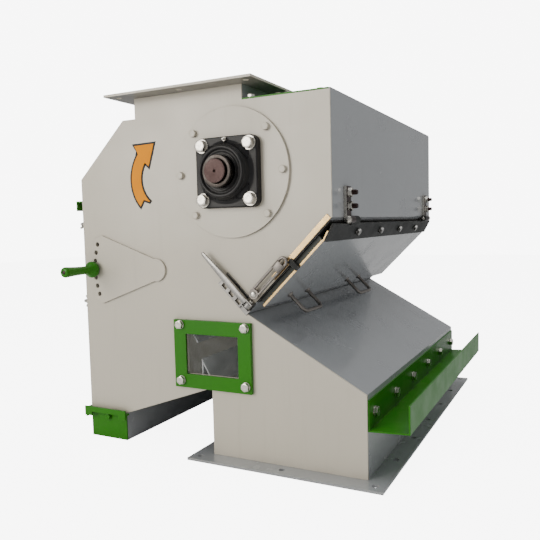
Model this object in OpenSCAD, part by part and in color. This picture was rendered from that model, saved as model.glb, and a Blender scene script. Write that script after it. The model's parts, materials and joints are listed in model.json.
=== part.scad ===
// Hammer mill with a swing hammer rotor, a hinged clean-out door and two outlets.
// Every part is drawn around the rotor axis: X to the right, Z up, Y from front to back,
// with Y = 0 at mid depth. at_rotor() then moves it so that the origin is the centre of
// the base flange on the floor.

/* [Casing] */
// Depth over the two side plates
casing_depth = 780; // [760:1:800]
// Thickness of the side plates and folded sheets
sheet = 3; // [2.5:0.5:3.5]
// Height of the rotor axis above the floor
axis_height = 578; // [570:1:590]
// Rotor axis to the outer face of the right wall
box_right = 208; // [200:1:215]
// Rotor axis to the top of the rotor box
box_top = 138; // [136:1:145]
// Rotor axis to the left side of the inlet neck
neck_left = 233; // [225:1:240]
// Rotor axis to the right side of the inlet neck
neck_right = 27; // [20:1:35]
// Rotor axis to the top of the inlet neck
neck_top = 168; // [165:1:175]
// Rotor axis to the outer face of the back wall
back_wall_x = 391; // [385:1:400]
// Drop from the rotor axis to the top of the door slope
door_drop = 92; // [88:1:96]
// Run of the 45 degree door slope
slope_run = 184; // [180:1:188]

/* [Hopper and leg] */
// Rotor axis to the left wall of the hopper
hopper_left = 61; // [55:1:65]
// Rotor axis to the right wall of the hopper
hopper_right = 270; // [265:1:280]
// Drop from the rotor axis to the foot of the hopper roof
roof_foot = 415; // [410:1:420]
// Rotor axis to the right wall of the side spout
spout_right = 290; // [285:1:295]
// Drop from the rotor axis to the low end of the leg floor
leg_foot = 515; // [510:1:520]
// Drop from the rotor axis to the high end of the leg floor
leg_head = 435; // [430:1:440]

/* [Flanges] */
// Width of the base flange outside the hopper
base_flange_w = 40; // [36:1:45]
// Width of the inlet flange outside the neck
inlet_flange_w = 44; // [40:1:48]
// Thickness of both flanges
flange_t = 5; // [4:1:8]
// Radius of the flange bolt holes
flange_hole_r = 6; // [5:0.5:7]

/* [Rotor] */
// Radius of the shaft in its bearings
shaft_r = 22.5; // [20:0.5:25]
// Radius of the circle that carries the hammer rods
rod_circle_r = 80; // [78:1:82]
// Radius of the rotor discs
disc_r = 98; // [96:1:100]
// Number of rotor discs
disc_count = 9; // [7:2:11]
// Length of a hammer below its rod
hammer_drop = 40; // [36:1:41]
// Radius of the drive end
drive_r = 21; // [19:0.5:22]
// Length of the drive end beyond the rear bearing
drive_end = 92; // [80:1:110]

/* [Door] */
// Gap between seat and door, filled by the gasket
gasket_t = 12; // [8:1:14]
// Distance from the seat's upper edge to the door's lower edge
door_low = 222; // [215:1:224]

/* [Hidden] */

$fn = 48;
half = casing_depth / 2;
inner = half - sheet;
eps_gap = 0.3;

cream = [0.74, 0.72, 0.67];
grey = [0.55, 0.56, 0.57];
green = [0.25, 0.55, 0.06];
zinc = [0.80, 0.80, 0.78];
steel = [0.50, 0.48, 0.46];
black = [0.10, 0.10, 0.11];
rubber = [0.06, 0.06, 0.06];

// Corners of the casing outline, seen from the front
neck_tl = [-neck_left, neck_top];
neck_bl = [-neck_left, 126];
shoulder = [-neck_left - 33, 126];
back_top = [-back_wall_x, 7];
back_foot = [-back_wall_x, 1 - axis_height];
spout_foot = [-spout_right, 1 - axis_height];
leg_low = [-spout_right, -leg_foot];
leg_high = [-hopper_left, -leg_head];
hopper_base = flange_t - axis_height;
hopper_bl = [-hopper_left, hopper_base];
hopper_br = [hopper_right, hopper_base];
roof_low = [hopper_right, -roof_foot];
apex = [box_right - slope_run, -door_drop - slope_run];
slope_top = [box_right, -door_drop];
box_tr = [box_right, box_top];
wall_tr = [box_right, box_top + sheet];
box_tl = [neck_right, box_top];
neck_tr = [neck_right, neck_top];

hopper_mid = (hopper_right - hopper_left) / 2;
neck_mid = (neck_right - neck_left) / 2;
slope_len = slope_run * sqrt(2);

// Rotor opening, cover discs and bearings
opening_r = 104;
cover_r = 127;
cover_t = 6;
cover_bolt_r = 115;
cover_bolt_angles = [0, 45, 135, 180, 225, 315];
bearing_size = 137;
bearing_pitch = 105;
bearing_flange_t = 16;
bearing_h = 38;
nipple_r = 62.5;
ring_r = 42.5;
ring_mid = 22;
front_end = 64;
drive_start = half + cover_t + 56;

// Keyway of the drive end, turned a little from the top
key_w = 12;
key_depth = 5;
key_inset = 16;
key_angle = 22;

// Rotor
core_r = 28;
sleeve_r = 34;
rod_r = 8;
disc_t = 8;
disc_pitch = 80;
hammer_w = 32;
hammer_t = 8;
hammer_bore_r = 8.4;
rotor_half = disc_pitch * (disc_count - 1) / 2;
screen_r = 128;
screen_t = 2;

// Window
win_x = [-117, 7];
win_z = [-408, -324];
win_border = 29;
win_bolts = [[-130, -305], [24, -305], [-130, -422], [24, -422]];

// Flap lever
flap_x = -190;
flap_z = -193;
flap_shaft_r = 10;
index_r = 167;
index_step = 6.4;
lever_t = 4;
slot_half = 5.2;

// Door and hinge, in the slope frame: s down the slope, n outwards from it
seat_top = 8;
seat_t = 3;
strip_t = 2;
strip_n = -11;
strip_w = 10.5;
panel_t = 3;
panel_n = seat_t + gasket_t;
panel_top = 38;
hinge_x = box_right + 9;
hinge_z = -door_drop - 5;
hinge_y = 315;
pin_r = 4;
knuckle_r = 7.5;
door_half = half - 2;

// Latch
latch_x = 36;
latch_z = -258;
latch_pin_r = 4;

// ---------------------------------------------------------------- helpers

module at_rotor() translate([-hopper_mid, 0, axis_height]) children();

// Extrudes a drawing in X and Z from y0 to y1
module slab(y0, y1) translate([0, y1, 0]) rotate([90, 0, 0]) linear_extrude(y1 - y0) children();

// The drawing plane of the front face: x is X, y is Z, z points at the viewer
module on_front() translate([0, -half, 0]) rotate([90, 0, 0]) children();

module both_sides() {
    children();
    mirror([0, 1, 0]) children();
}

// The slope frame: x runs down the slope, y is Y, z points outwards
module on_slope() translate([box_right, 0, -door_drop]) rotate([0, 135, 0]) children();

function unit(v) = v / norm(v);
function left_of(v) = [-v[1], v[0]];
function corner(a, b, c, t) =
    let (u = unit(b - a), v = unit(c - b))
    b + (left_of(u) + left_of(v)) * t / (1 + u * v);
function inset(path, t) = [
    for (i = [0 : len(path) - 1])
        i == 0 ? path[0] + t * left_of(unit(path[1] - path[0]))
        : i == len(path) - 1 ? path[i] + t * left_of(unit(path[i] - path[i - 1]))
        : corner(path[i - 1], path[i], path[i + 1], t)
];

// A folded sheet whose outer face follows path, with its thickness on the left of it
module folded(path, t) {
    inside = inset(path, t);
    polygon(concat(path, [for (i = [len(path) - 1 : -1 : 0]) inside[i]]));
}

// A hex bolt on the plane z = 0, with its head on the +z side
module hex_bolt(flats, head_h, washer_r, shank_r, shank_l) {
    washer_t = 1.6;
    cylinder(h = washer_t, r = washer_r);
    translate([0, 0, washer_t]) cylinder(h = head_h, r = flats / sqrt(3), $fn = 6);
    translate([0, 0, -shank_l]) cylinder(h = shank_l, r = shank_r);
}

// A square with round corners, centred
module round_square(w, h, r) {
    square([w - 2 * r, h], center = true);
    square([w, h - 2 * r], center = true);
    for (x = [-1, 1], y = [-1, 1]) translate([x * (w / 2 - r), y * (h / 2 - r)]) circle(r);
}

module at_points(points) for (p = points) translate([p[0], p[1], 0]) children();

// ---------------------------------------------------------------- casing

// The curved slot that the clamp handle's stud runs in
module lever_slot() translate([flap_x, 0, flap_z]) {
    travel = 3 * index_step;
    reach = 200;
    slab(-half - 1, -inner + 1) intersection() {
        difference() {
            circle(index_r + slot_half);
            circle(index_r - slot_half);
        }
        polygon([[0, 0], [-reach, reach * tan(travel)], [-reach, -reach * tan(travel)]]);
    }
    for (a = [-travel, travel]) slab(-half - 1, -inner + 1) rotate(180 + a) translate([index_r, 0])
        circle(slot_half + 0.4);
}

module side_outline() {
    difference() {
        polygon([
            neck_tl, neck_bl, shoulder, back_top, [-back_wall_x, -leg_foot], leg_low, leg_high,
            hopper_bl, hopper_br, roof_low, apex, slope_top, box_tr, box_tl, neck_tr
        ]);
        circle(opening_r);
        for (a = cover_bolt_angles) rotate(a) translate([cover_bolt_r, 0]) circle(4.4);
        translate([win_x[0], win_z[0]]) square([win_x[1] - win_x[0], win_z[1] - win_z[0]]);
        at_points(win_bolts) circle(5.4);
        translate([flap_x, flap_z]) circle(flap_shaft_r + 0.5);
    }
}

module side_plate_front() color(cream) at_rotor() difference() {
    slab(-half, -inner) side_outline();
    lever_slot();
}

module side_plate_rear() color(cream) at_rotor() slab(inner, half) side_outline();

module back_wall() color(cream) at_rotor() difference() {
    slab(-inner, inner) folded([neck_tl, neck_bl, shoulder, back_top, back_foot], sheet);
    translate([-back_wall_x - 1, -300, -270]) cube([sheet + 2, 600, 180]);
    for (p = stud_spots)
        translate([-back_wall_x - 1, p[0], p[1]]) rotate([0, 90, 0]) cylinder(h = sheet + 2, r = 4.3);
}

module neck_right_wall() color(grey) at_rotor() slab(-inner, inner) folded([box_tl, neck_tr], sheet);

module right_wall() color(grey) at_rotor() difference() {
    slab(-inner, inner) folded([slope_top - [8.5, 8.5], slope_top, wall_tr], sheet);
    for (y = [-hinge_y, hinge_y], z = [-45, -71])
        translate([box_right - sheet - 1, y, z]) rotate([0, 90, 0])
            cylinder(h = sheet + 2, r = 5.4);
}

module leg_floor() color(grey) at_rotor()
    slab(-inner, inner) folded([spout_foot, leg_low, leg_high, hopper_bl], sheet);

module hopper_roof() color(grey) at_rotor() difference() {
    slab(-inner, inner) folded([hopper_br, roof_low, apex], sheet);
    for (i = [0 : 5]) translate([hopper_right - sheet - 1, -355 + 142 * i, -453])
        rotate([0, 90, 0]) cylinder(h = sheet + 2, r = 5.4);
}

// A flat flange around an opening, with rows of bolt holes along its four sides
module flange(open_x, open_y, rim, rows_x, rows_y) {
    pitch_x = (open_x + rim) / (rows_x - 1);
    pitch_y = (open_y + rim) / (rows_y - 1);
    difference() {
        square([open_x + 2 * rim, open_y + 2 * rim], center = true);
        square([open_x - 2 * sheet, open_y - 2 * sheet], center = true);
        for (i = [0 : rows_x - 1], side = [-1, 1])
            translate([pitch_x * (i - (rows_x - 1) / 2), side * (open_y + rim) / 2])
                circle(flange_hole_r);
        for (i = [1 : rows_y - 2], side = [-1, 1])
            translate([side * (open_x + rim) / 2, pitch_y * (i - (rows_y - 1) / 2)])
                circle(flange_hole_r);
    }
}

module inlet_flange() color(cream) at_rotor()
    translate([neck_mid, 0, neck_top]) linear_extrude(flange_t)
        flange(neck_left + neck_right, casing_depth, inlet_flange_w, 3, 7);

module base_flange() color(grey) at_rotor()
    translate([hopper_mid, 0, -axis_height]) linear_extrude(flange_t)
        flange(hopper_left + hopper_right, casing_depth, base_flange_w, 3, 7);

rail_w = 40;
top_bolt_spots = concat(
    [for (x = [42, 110], y = [-1, 1]) [x, y * (inner - (x < 50 ? 9 : rail_w - 12))]],
    [for (y = [-359, -180, 0, 180, 359]) [box_right - sheet - rail_w + 12, y]]
);

module top_rails() color(grey) at_rotor() difference() {
    union() {
        both_sides() translate([neck_right, inner - rail_w, box_top - sheet])
            cube([box_right - sheet - neck_right, rail_w, sheet]);
        translate([box_right - sheet - rail_w, -inner, box_top - sheet])
            cube([rail_w, 2 * inner, sheet]);
    }
    translate([0, 0, box_top - sheet - 1]) at_points(top_bolt_spots) cylinder(h = sheet + 2, r = 4.4);
}

module top_cover() color(green) at_rotor() difference() {
    translate([neck_right + 0.2, -half, box_top])
        cube([box_right - sheet - neck_right - 0.4, casing_depth, sheet]);
    translate([0, 0, box_top - 1]) at_points(top_bolt_spots) cylinder(h = sheet + 2, r = 4.4);
}

// ---------------------------------------------------------------- door opening

module door_seat() color(cream) at_rotor() on_slope() difference() {
    union() {
        translate([seat_top, -half, 0]) cube([door_low + 4 - seat_top, casing_depth, seat_t]);
        for (y = [-half - strip_t, half]) translate([seat_top - 6, y, strip_n])
            cube([164, strip_t, strip_w]);
    }
    translate([panel_top + 22, -inner + 22, -1])
        cube([door_low - panel_top - 40, 2 * inner - 44, seat_t + 2]);
}

module door_sill() color(grey) at_rotor() on_slope()
    translate([door_low + 4, -half, 0]) cube([slope_len - door_low - 6, casing_depth, sheet]);

// ---------------------------------------------------------------- side spout

module spout_cap() {
    lip = 14;
    cap_w = back_wall_x - spout_right;
    on_front() {
        difference() {
            translate([-back_wall_x, 1 - axis_height, -sheet])
                cube([cap_w, axis_height - 1 - leg_foot, sheet]);
            translate([-back_wall_x + cap_w / 2, -leg_foot - 12, -sheet - 1])
                cylinder(h = sheet + 2, r = 4.4);
        }
        translate([-back_wall_x - 8, -leg_foot - sheet, 0]) cube([cap_w + 16, sheet, lip]);
        for (x = [-back_wall_x - 8, -spout_right - 12])
            translate([x, -leg_foot - sheet - 9, lip - sheet]) cube([20, 9, sheet]);
        translate([-back_wall_x - 8, -leg_foot - sheet, lip - sheet]) cube([cap_w + 16, 12, sheet]);
    }
}

module spout_cap_front() color(green) at_rotor() spout_cap();

module spout_cap_rear() color(green) at_rotor() mirror([0, 1, 0]) spout_cap();

// ---------------------------------------------------------------- inside the casing

module feed_deflector() color(steel) at_rotor()
    slab(-inner, inner) folded([[neck_right - sheet - 1.1, 158], [-42, 134]], sheet);

// Sector of a ring around the rotor axis, open at the top
module arc_band(r_in, r_out) {
    reach = 300;
    intersection() {
        difference() {
            circle(r_out, $fn = 96);
            circle(r_in, $fn = 96);
        }
        polygon([
            [0, 0], reach * [cos(198), sin(198)], [-reach, -reach], [reach, -reach],
            reach * [cos(346), sin(346)]
        ]);
    }
}

module screen() color(steel) at_rotor() difference() {
    slab(-inner + 0.2, inner - 0.2) arc_band(screen_r, screen_r + screen_t);
    for (i = [0 : 11], a = [208 : 16 : 336])
        translate([0, -352 + 64 * i, 0]) rotate([0, -a, 0])
            translate([screen_r - 4, 0, 0]) rotate([0, 90, 0]) cylinder(h = 10, r = 8, $fn = 24);
}

module screen_rails() color(steel) at_rotor() both_sides()
    slab(inner - 10, inner) arc_band(screen_r + screen_t, screen_r + screen_t + 12);

module divider_plates() color(grey) at_rotor() {
    slab(-inner + 9, inner - 9) folded([[-186, -212], [-102, -346]], sheet);
    slab(-inner, inner) folded([[-83, -438], [-83, -387], [-59, -428]], sheet);
}

// ---------------------------------------------------------------- bearings and covers

module cover_disc() {
    on_front() linear_extrude(cover_t) difference() {
        circle(cover_r, $fn = 96);
        circle(38);
        for (a = cover_bolt_angles) rotate(a) translate([cover_bolt_r, 0]) circle(4.4);
        for (x = [-1, 1], y = [-1, 1]) translate([x, y] * bearing_pitch / 2) circle(7.4);
    }
}

module cover_disc_front() color(cream) at_rotor() cover_disc();

module cover_disc_rear() color(cream) at_rotor() mirror([0, 1, 0]) cover_disc();

module cover_disc_bolts() color(zinc) at_rotor() both_sides() on_front()
    for (a = cover_bolt_angles) rotate(a) translate([cover_bolt_r, 0, cover_t])
        rotate(-a) hex_bolt(13, 5.3, 7.5, 4, 16);

module bearing_housing() {
    on_front() translate([0, 0, cover_t]) difference() {
        union() {
            linear_extrude(bearing_flange_t) round_square(bearing_size, bearing_size, 16);
            rotate_extrude() polygon([
                [0, 0], [57, 0], [57, bearing_flange_t], [54, bearing_flange_t + 4],
                [50, bearing_h - 3], [48, bearing_h], [0, bearing_h]
            ]);
        }
        translate([0, 0, -1]) cylinder(h = bearing_h + 2, r = ring_r);
        for (x = [-1, 1], y = [-1, 1]) translate([x, y, 0] * bearing_pitch / 2)
            translate([0, 0, -1]) cylinder(h = bearing_flange_t + 2, r = 7.4);
        translate([0, nipple_r, 8]) cylinder(h = bearing_flange_t, r = 3);
    }
}

module bearing_housing_front() color(black) at_rotor() bearing_housing();

module bearing_housing_rear() color(black) at_rotor() mirror([0, 1, 0]) bearing_housing();

module bearing_outer_rings() color(steel) at_rotor() both_sides() on_front()
    translate([0, 0, cover_t + ring_mid]) difference() {
        translate([0, 0, -11]) cylinder(h = 22, r = ring_r);
        translate([0, 0, -12]) cylinder(h = 24, r = 36.5);
    }

module bearing_bolts() color(zinc) at_rotor() both_sides() on_front()
    for (x = [-1, 1], y = [-1, 1])
        translate([x * bearing_pitch / 2, y * bearing_pitch / 2, cover_t + bearing_flange_t])
            hex_bolt(21, 8.8, 14, 7, 34);

module grease_nipples() color(zinc) at_rotor() both_sides() on_front()
    translate([0, nipple_r, cover_t + 8]) {
        cylinder(h = bearing_flange_t - 8, r = 3);
        translate([0, 0, bearing_flange_t - 8]) cylinder(h = 4, r = 4.6, $fn = 6);
        translate([0, 0, bearing_flange_t - 4]) cylinder(h = 6, r1 = 3.2, r2 = 2.2);
    }

// ---------------------------------------------------------------- sight windows

win_mid = [(win_x[0] + win_x[1]) / 2, (win_z[0] + win_z[1]) / 2];
win_size = [win_x[1] - win_x[0], win_z[1] - win_z[0]];
frame_t = 8;
pane_t = 4;

module window_frame() {
    on_front() translate([win_mid[0], win_mid[1], 0]) difference() {
        translate([0, 0, frame_t / 2])
            cube([win_size[0] + 2 * win_border, win_size[1] + 2 * win_border, frame_t], center = true);
        translate([0, 0, frame_t / 2]) cube([win_size[0], win_size[1], frame_t + 2], center = true);
        translate([0, 0, pane_t / 2]) cube([win_size[0] + 16, win_size[1] + 16, pane_t], center = true);
        translate([-win_mid[0], -win_mid[1], -1]) at_points(win_bolts) cylinder(h = frame_t + 2, r = 5.4);
    }
}

module window_frames() color(green) at_rotor() both_sides() window_frame();

module window_panes() color([0.7, 0.8, 0.8, 0.4]) at_rotor() both_sides() on_front()
    translate([win_mid[0], win_mid[1], pane_t / 2])
        cube([win_size[0] + 15, win_size[1] + 15, pane_t - 0.4], center = true);

module window_bolts() color(zinc) at_rotor() both_sides() on_front()
    translate([0, 0, frame_t]) at_points(win_bolts) hex_bolt(16, 6.4, 9.5, 5, 18);

// ---------------------------------------------------------------- side tray

module side_tray() color(green) at_rotor() difference() {
    translate([hopper_right, 0, 0]) slab(-half + 3, half - 3)
        polygon([
            [0, -425], [0, -484], [78, -480], [78, -427], [75, -427], [75, -477.2],
            [3, -481], [3, -425]
        ]);
    for (i = [0 : 5]) translate([hopper_right - 1, -355 + 142 * i, -453])
        rotate([0, 90, 0]) cylinder(h = 5, r = 5.4);
}

module tray_bolts() color(zinc) at_rotor()
    for (i = [0 : 5]) translate([hopper_right + 3, -355 + 142 * i, -453])
        rotate([0, 90, 0]) hex_bolt(17, 6.4, 10, 5, 14);

// ---------------------------------------------------------------- hinge

strap_w = 26;
strap_t = 6;

module hinge_straps() color(steel) at_rotor() for (y = [-hinge_y, hinge_y]) difference() {
    union() {
        translate([box_right, y - strap_w / 2, hinge_z]) cube([strap_t, strap_w, 64]);
        translate([hinge_x, y - strap_w / 2, hinge_z]) rotate([-90, 0, 0])
            cylinder(h = strap_w, r = knuckle_r);
    }
    translate([hinge_x, y - strap_w, hinge_z]) rotate([-90, 0, 0]) cylinder(h = 2 * strap_w, r = pin_r);
    for (z = [-45, -71]) translate([box_right - 1, y, z]) rotate([0, 90, 0])
        cylinder(h = strap_t + 2, r = 5.4);
}

module hinge_pins() color(zinc) at_rotor() for (side = [-1, 1])
    translate([hinge_x, side * hinge_y, hinge_z]) rotate([side * 90, 0, 0]) {
        translate([0, 0, -strap_w / 2 - 3]) cylinder(h = 3, r = 6);
        translate([0, 0, -strap_w / 2]) cylinder(h = strap_w + 28, r = pin_r);
    }

// Bolts of the top cover, the hinge straps and the two spout caps
module casing_bolts() color(zinc) at_rotor() {
    translate([0, 0, box_top + sheet]) at_points(top_bolt_spots) hex_bolt(13, 5.3, 8, 4, 12);
    for (y = [-hinge_y, hinge_y], z = [-45, -71])
        translate([box_right + strap_t, y, z]) rotate([0, 90, 0]) {
            hex_bolt(16, 6.4, 9, 5, 18);
            cylinder(h = 18, r = 5);
        }
    both_sides() on_front() translate([-(back_wall_x + spout_right) / 2, -leg_foot - 12, 0])
        hex_bolt(13, 5.3, 7, 4, 12);
}

// ---------------------------------------------------------------- back access cover

stud_spots = [for (y = [-376, 376], z = [-92, -268]) [y, z]];

module access_cover() color(cream) at_rotor() difference() {
    translate([-back_wall_x - sheet, -half + 4, -292]) cube([sheet, casing_depth - 8, 228]);
    for (p = stud_spots) translate([-back_wall_x - sheet - 1, p[0], p[1]]) rotate([0, 90, 0])
        cylinder(h = sheet + 2, r = 4.3);
}

module cover_rails() color(green) at_rotor() for (z = [-62, -537]) translate([-back_wall_x, 0, z])
    slab(-half + 4, half - 4) polygon([[0, 22], [-22, 22], [-22, 0], [-19, 0], [-19, 19], [0, 19]]);

module cover_studs() color(zinc) at_rotor()
    for (p = stud_spots) translate([-back_wall_x, p[0], p[1]]) rotate([0, -90, 0]) {
        translate([0, 0, -10]) cylinder(h = 28, r = 4);
        translate([0, 0, sheet]) cylinder(h = 6, r = 8);
        translate([0, 0, sheet + 6]) for (w = [-1, 1])
            translate([w * 9, 0, 5]) cube([10, 3, 10], center = true);
    }

// ---------------------------------------------------------------- rotation arrow

arrow_t = 0.8;

module rotation_arrow() color([0.95, 0.62, 0.02]) at_rotor() on_front() translate([-162, -2, 0]) {
    linear_extrude(arrow_t) intersection() {
        difference() {
            circle(85, $fn = 96);
            circle(60, $fn = 96);
        }
        polygon([
            [0, 0], 100 * [cos(141), sin(141)], [-140, 0], 100 * [cos(221.2), sin(221.2)],
            [-64, -56], [-55, -42], [-40, -47]
        ]);
    }
    linear_extrude(arrow_t) polygon([[-75, 72], [-24, 73.4], [-39, 27], [-47, 34], [-64, 50]]);
}

// ---------------------------------------------------------------- rotor

module along_y(y0, y1) translate([0, y0, 0]) rotate([-90, 0, 0]) linear_extrude(y1 - y0) children();

module rotor_shaft() color(steel) at_rotor() difference() {
    union() {
        along_y(-half - front_end, drive_start) circle(shaft_r);
        along_y(drive_start, drive_start + drive_end) circle(drive_r);
        along_y(-rotor_half - 24, rotor_half + 24) circle(core_r);
    }
    rotate([0, key_angle, 0])
        translate([-key_w / 2, drive_start + key_inset, drive_r - key_depth]) cube([key_w, drive_end, 20]);
    translate([0, -half - front_end - 1, 0]) rotate([-90, 0, 0]) cylinder(h = 6, r = 2.5);
}

module rod_positions() for (a = [45 : 90 : 315]) translate(rod_circle_r * [cos(a), sin(a)]) children();

module rotor_discs() color(steel) at_rotor() for (i = [0 : disc_count - 1])
    along_y(-rotor_half + disc_pitch * i - disc_t / 2, -rotor_half + disc_pitch * i + disc_t / 2)
        difference() {
            circle(disc_r, $fn = 96);
            circle(core_r);
            rod_positions() circle(rod_r);
        }

module disc_spacers() color(steel) at_rotor() {
    for (i = [0 : disc_count - 2]) along_y(
        -rotor_half + disc_pitch * i + disc_t / 2, -rotor_half + disc_pitch * (i + 1) - disc_t / 2
    ) difference() {
        circle(sleeve_r);
        circle(core_r);
    }
    both_sides() along_y(rotor_half + disc_t / 2, rotor_half + disc_t / 2 + 14) difference() {
        circle(sleeve_r + 6, $fn = 6);
        circle(core_r);
    }
}

module hammer_rods() color(steel) at_rotor() {
    along_y(-rotor_half - 12, rotor_half + 12) rod_positions() circle(rod_r);
    both_sides() along_y(rotor_half + disc_t / 2, rotor_half + disc_t / 2 + 4)
        rod_positions() difference() {
            circle(12);
            circle(rod_r);
        }
}

module bearing_inner_rings() color(steel) at_rotor() both_sides() on_front()
    translate([0, 0, cover_t]) difference() {
        union() {
            translate([0, 0, 3]) cylinder(h = 38, r = 30);
            translate([0, 0, 41]) cylinder(h = 11, r = 31);
        }
        cylinder(h = 60, r = shaft_r);
        for (a = [30, 150]) rotate(a) translate([shaft_r, 0, 46.5]) rotate([0, 90, 0])
            cylinder(h = 20, r = 3);
    }

// One row of swinging hammers on the rod at the given angle, all hanging straight down
module hammer_row(angle, stagger) translate([rod_circle_r * cos(angle), 0, rod_circle_r * sin(angle)])
    for (i = [0 : disc_count - 2]) {
        y = -rotor_half + disc_pitch * (i + 0.5) + stagger;
        slab(y - hammer_t / 2, y + hammer_t / 2) difference() {
            union() {
                circle(hammer_w / 2);
                translate([-hammer_w / 2, -hammer_drop]) square([hammer_w, hammer_drop]);
            }
            circle(hammer_bore_r);
        }
    }

module hammers_1() color(steel) at_rotor() hammer_row(45, -18);
module hammers_2() color(steel) at_rotor() hammer_row(135, 18);
module hammers_3() color(steel) at_rotor() hammer_row(225, -6);
module hammers_4() color(steel) at_rotor() hammer_row(315, 6);

// ---------------------------------------------------------------- door

// Outer face of the top bar: from bar_top to bar_low in s and n
bar_top = [7, 10.8];
bar_low = [42, 21.5];
bar_t = 3.5;
rim_depth = 4.5;
panel_face = panel_n + panel_t;

// Keeper that the latch loop holds, on the front edge of the door
keeper_s = 111;
keeper_w = 10;

// Points on the underside of the top bar, where the panel's folded edge lies
bar_under = bar_low + bar_t * left_of(unit(bar_top - bar_low));
bar_fall = (bar_low[1] - bar_top[1]) / (bar_low[0] - bar_top[0]);
panel_fold = [bar_under[0] - (bar_under[1] - panel_face) / bar_fall, panel_face];
panel_edge = panel_fold - 19 * [1, bar_fall];

module door_panel() color(grey) at_rotor() on_slope() {
    difference() {
        slab(-door_half, door_half) folded([[door_low, panel_face], panel_fold, panel_edge], panel_t);
        door_bar_bolt_places() translate([0, 0, -10]) cylinder(h = 20, r = 4.4);
    }
    for (y = [-door_half, door_half - panel_t])
        translate([panel_top + 6, y, panel_face - rim_depth])
            cube([door_low - panel_top - 6, panel_t, rim_depth]);
    translate([keeper_s, -half - 5.5, panel_face - 5]) cube([keeper_w, 8, 5]);
    translate([keeper_s, -half - 5.5, -5]) cube([keeper_w, 3, panel_face + 5]);
}

module door_gasket() color(rubber) at_rotor() on_slope() difference() {
    translate([panel_top + 6, -door_half + 4, seat_t + eps_gap])
        cube([door_low - panel_top - 10, 2 * door_half - 8, gasket_t - eps_gap]);
    translate([panel_top + 20, -door_half + 22, 0])
        cube([door_low - panel_top - 40, 2 * door_half - 44, 30]);
}

module door_top_bar() color(black) at_rotor() on_slope() {
    difference() {
        slab(-door_half, door_half) folded([bar_low, bar_top], bar_t);
        door_bar_bolt_places() translate([0, 0, -10]) cylinder(h = 20, r = 4.4);
    }
    for (side = [-1, 1]) hinge_knuckle(side);
}

module hinge_knuckle(side) {
    knuckle_y = side * (hinge_y - strap_w / 2 - 13);
    hinge_s = (box_right - hinge_x - door_drop - hinge_z) / sqrt(2);
    hinge_n = (hinge_x - box_right - door_drop - hinge_z) / sqrt(2);
    translate([hinge_s, knuckle_y, hinge_n]) rotate([90, 0, 0]) difference() {
        union() {
            cylinder(h = 24, r = knuckle_r, center = true);
            translate([0, -3, -12]) cube([12, 7, 24]);
        }
        cylinder(h = 26, r = pin_r + 0.08, center = true);
    }
}

module door_bar_bolt_places() {
    middle = (bar_top + bar_low) / 2;
    tilt = atan2(bar_low[1] - bar_top[1], bar_low[0] - bar_top[0]);
    for (y = [-235, -78, 78, 235]) translate([middle[0], y, middle[1]]) rotate([0, -tilt, 0]) children();
}

module door_bar_bolts() color(zinc) at_rotor() on_slope()
    door_bar_bolt_places() hex_bolt(13, 5.3, 7, 4, 8);

module door_handles() color(zinc) at_rotor() on_slope() for (y = [-257, 80])
    translate([201, y, panel_face]) {
        for (leg = [-44, 44]) translate([0, leg, 0]) cylinder(h = 48, r = 4);
        translate([0, 0, 48]) rotate([90, 0, 0]) cylinder(h = 96, r = 4, center = true);
    }

// ---------------------------------------------------------------- flap

module flap_blade() color(steel) at_rotor() {
    translate([flap_x, 0, flap_z]) along_y(-half - 0.5, half + 4) circle(flap_shaft_r);
    translate([flap_x - 2, -inner + 2, flap_z + flap_shaft_r - 2]) cube([4, 2 * inner - 4, 107]);
}

module flap_lever() color(cream) at_rotor() on_front() translate([flap_x, flap_z, 0.5]) difference() {
    union() {
        cylinder(h = lever_t, r = 24);
        linear_extrude(lever_t) polygon(concat(
            [[2, -21.5], [-149, -76]],
            [for (a = [-22 : 4 : 22]) 181 * [-cos(a), sin(a)]],
            [[-144, 74], [2, 21.5]]
        ));
    }
    for (i = [-3 : 3]) rotate(180 + index_step * i) translate([index_r, 0, -1])
        cylinder(h = lever_t + 2, r = 5);
}

module clamp_handle() color(green) at_rotor() on_front() translate([flap_x - index_r, flap_z, 0])
    rotate_extrude() polygon([
        [0, -8], [4, -8], [4, lever_t + 1], [13, lever_t + 1], [17, lever_t + 6], [18, lever_t + 14],
        [16, lever_t + 22], [11, lever_t + 28], [9.5, lever_t + 33], [9.5, 60], [11.5, 92], [10, 99],
        [0, 100]
    ]);

// ---------------------------------------------------------------- latch

// The latch frame: x runs up to the left along the lever, z points at the viewer
module at_latch() on_front() translate([latch_x, latch_z, 0]) rotate(135) children();

latch_pin_z = 12;
loop_pivot = [47.5, -236.5];
loop_len = 90;
loop_z = 6;
loop_r = 3;
loop_half = 7.5;

module latch_base() color(zinc) at_rotor() {
    at_latch() difference() {
        union() {
            translate([-8, -8.5, 0]) cube([88, 32, 2.5]);
            translate([12, -1, 0]) cube([64, 23, 6]);
            for (y = [-8.5, 6]) translate([-8, y, 2.5]) cube([18, 2.5, 17]);
        }
        for (x = [16, 37, 58]) translate([x, 5, -1]) cube([13, 14, 8]);
        translate([0, 0, latch_pin_z]) rotate([90, 0, 0])
            cylinder(h = 40, r = latch_pin_r, center = true);
    }
    on_front() translate(loop_pivot) cylinder(h = loop_z - eps_gap, r = 7);
}

module latch_pins() color(steel) at_rotor() {
    at_latch() translate([0, 0, latch_pin_z]) rotate([90, 0, 0])
        cylinder(h = 23, r = latch_pin_r, center = true);
    on_front() translate([loop_pivot[0], loop_pivot[1], loop_z - eps_gap]) {
        cylinder(h = 2 * loop_r + 0.8, r = 3);
        translate([0, 0, 2 * loop_r + 0.8]) cylinder(h = 2.5, r = 6);
    }
}

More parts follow.
